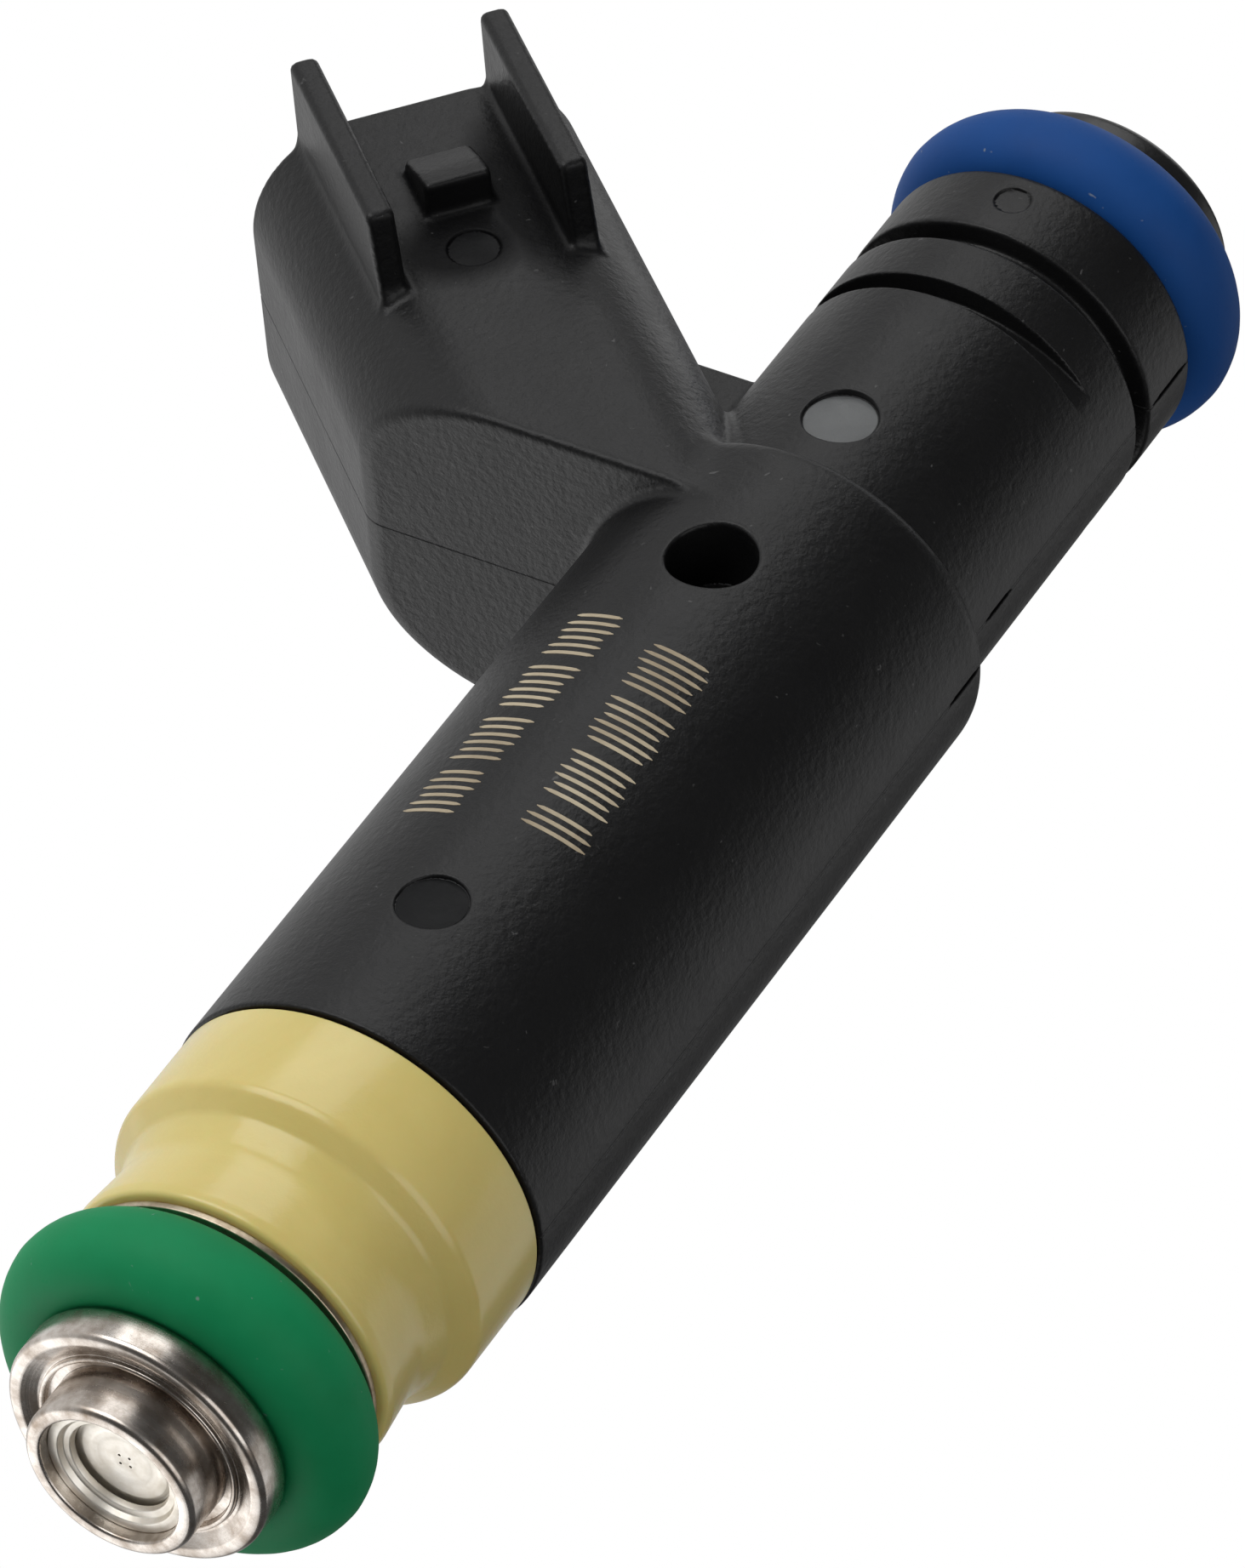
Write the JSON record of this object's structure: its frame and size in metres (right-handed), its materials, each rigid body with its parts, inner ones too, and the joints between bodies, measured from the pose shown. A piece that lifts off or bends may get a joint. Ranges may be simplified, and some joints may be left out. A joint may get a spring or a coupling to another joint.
{
  "type": "fuel injector",
  "caption": "Port fuel injector: black overmolded solenoid body with an angled electrical socket, sealing rings at both ends and a sprung ball valve that lifts inside its steel nozzle.",
  "frame": {"origin": "on the injector's axis, at the centre of the lower O-ring", "axes": "+Z along the injector's axis from the nozzle to the fuel inlet; the electrical socket leans out towards +X and upwards; its lock ramp and guide fins face +Y"},
  "size_m": [0.0331, 0.017, 0.069],
  "materials": {
    "black_nylon": "satin black glass-filled nylon with a fine moulded grain",
    "cream_plastic": "satin cream engineering plastic",
    "green_rubber": "smooth green fluoroelastomer",
    "blue_rubber": "smooth blue fluoroelastomer",
    "brown_rubber": "plain brown rubber, hidden",
    "bright_steel": "turned and polished stainless steel",
    "grey_steel": "plain machined steel",
    "tinned_brass": "tin-plated brass",
    "copper_wire": null,
    "bobbin_nylon": "natural nylon, hidden",
    "filter_nylon": "woven nylon mesh, shown as a plain sleeve"
  },
  "bodies": {
    "injector_body": {"adjusting_tube": "grey_steel", "backup_washer": "bright_steel", "bobbin_seal_lower": "brown_rubber", "bobbin_seal_upper": "brown_rubber", "coil_bobbin": "bobbin_nylon", "coil_winding": "copper_wire", "filter_frame": "bobbin_nylon", "filter_screen": "filter_nylon", "inlet_retainer": "black_nylon", "inlet_tube": "bright_steel", "lower_flux_ring": "grey_steel", "lower_guide": "grey_steel", "lower_o_ring": "green_rubber", "nonmagnetic_sleeve": "bright_steel", "nozzle_ring": "bright_steel", "orifice_plate": "bright_steel", "overmold_housing": "black_nylon", "pole_piece": "grey_steel", "return_spring": "grey_steel", "seat_backup_ring": "bright_steel", "seat_seal": "brown_rubber", "solenoid_shell": "grey_steel", "spacer_collar": "cream_plastic", "terminal_lower": "tinned_brass", "terminal_upper": "tinned_brass", "upper_flux_ring": "grey_steel", "upper_o_ring": "blue_rubber", "valve_body": "bright_steel", "valve_seat": "grey_steel"},
    "needle": {"armature": "grey_steel", "needle_tube": "grey_steel", "valve_ball": "grey_steel"}
  },
  "joints": [
    {"name": "needle_lift", "type": "slide", "parent": "injector_body", "child": "needle", "axis": [0, 0, 1], "range_m": [0, 0.0001], "stiffness_N_per_m": 200, "springref_m": -0.005, "deforming": ["return_spring"]}
  ]
}
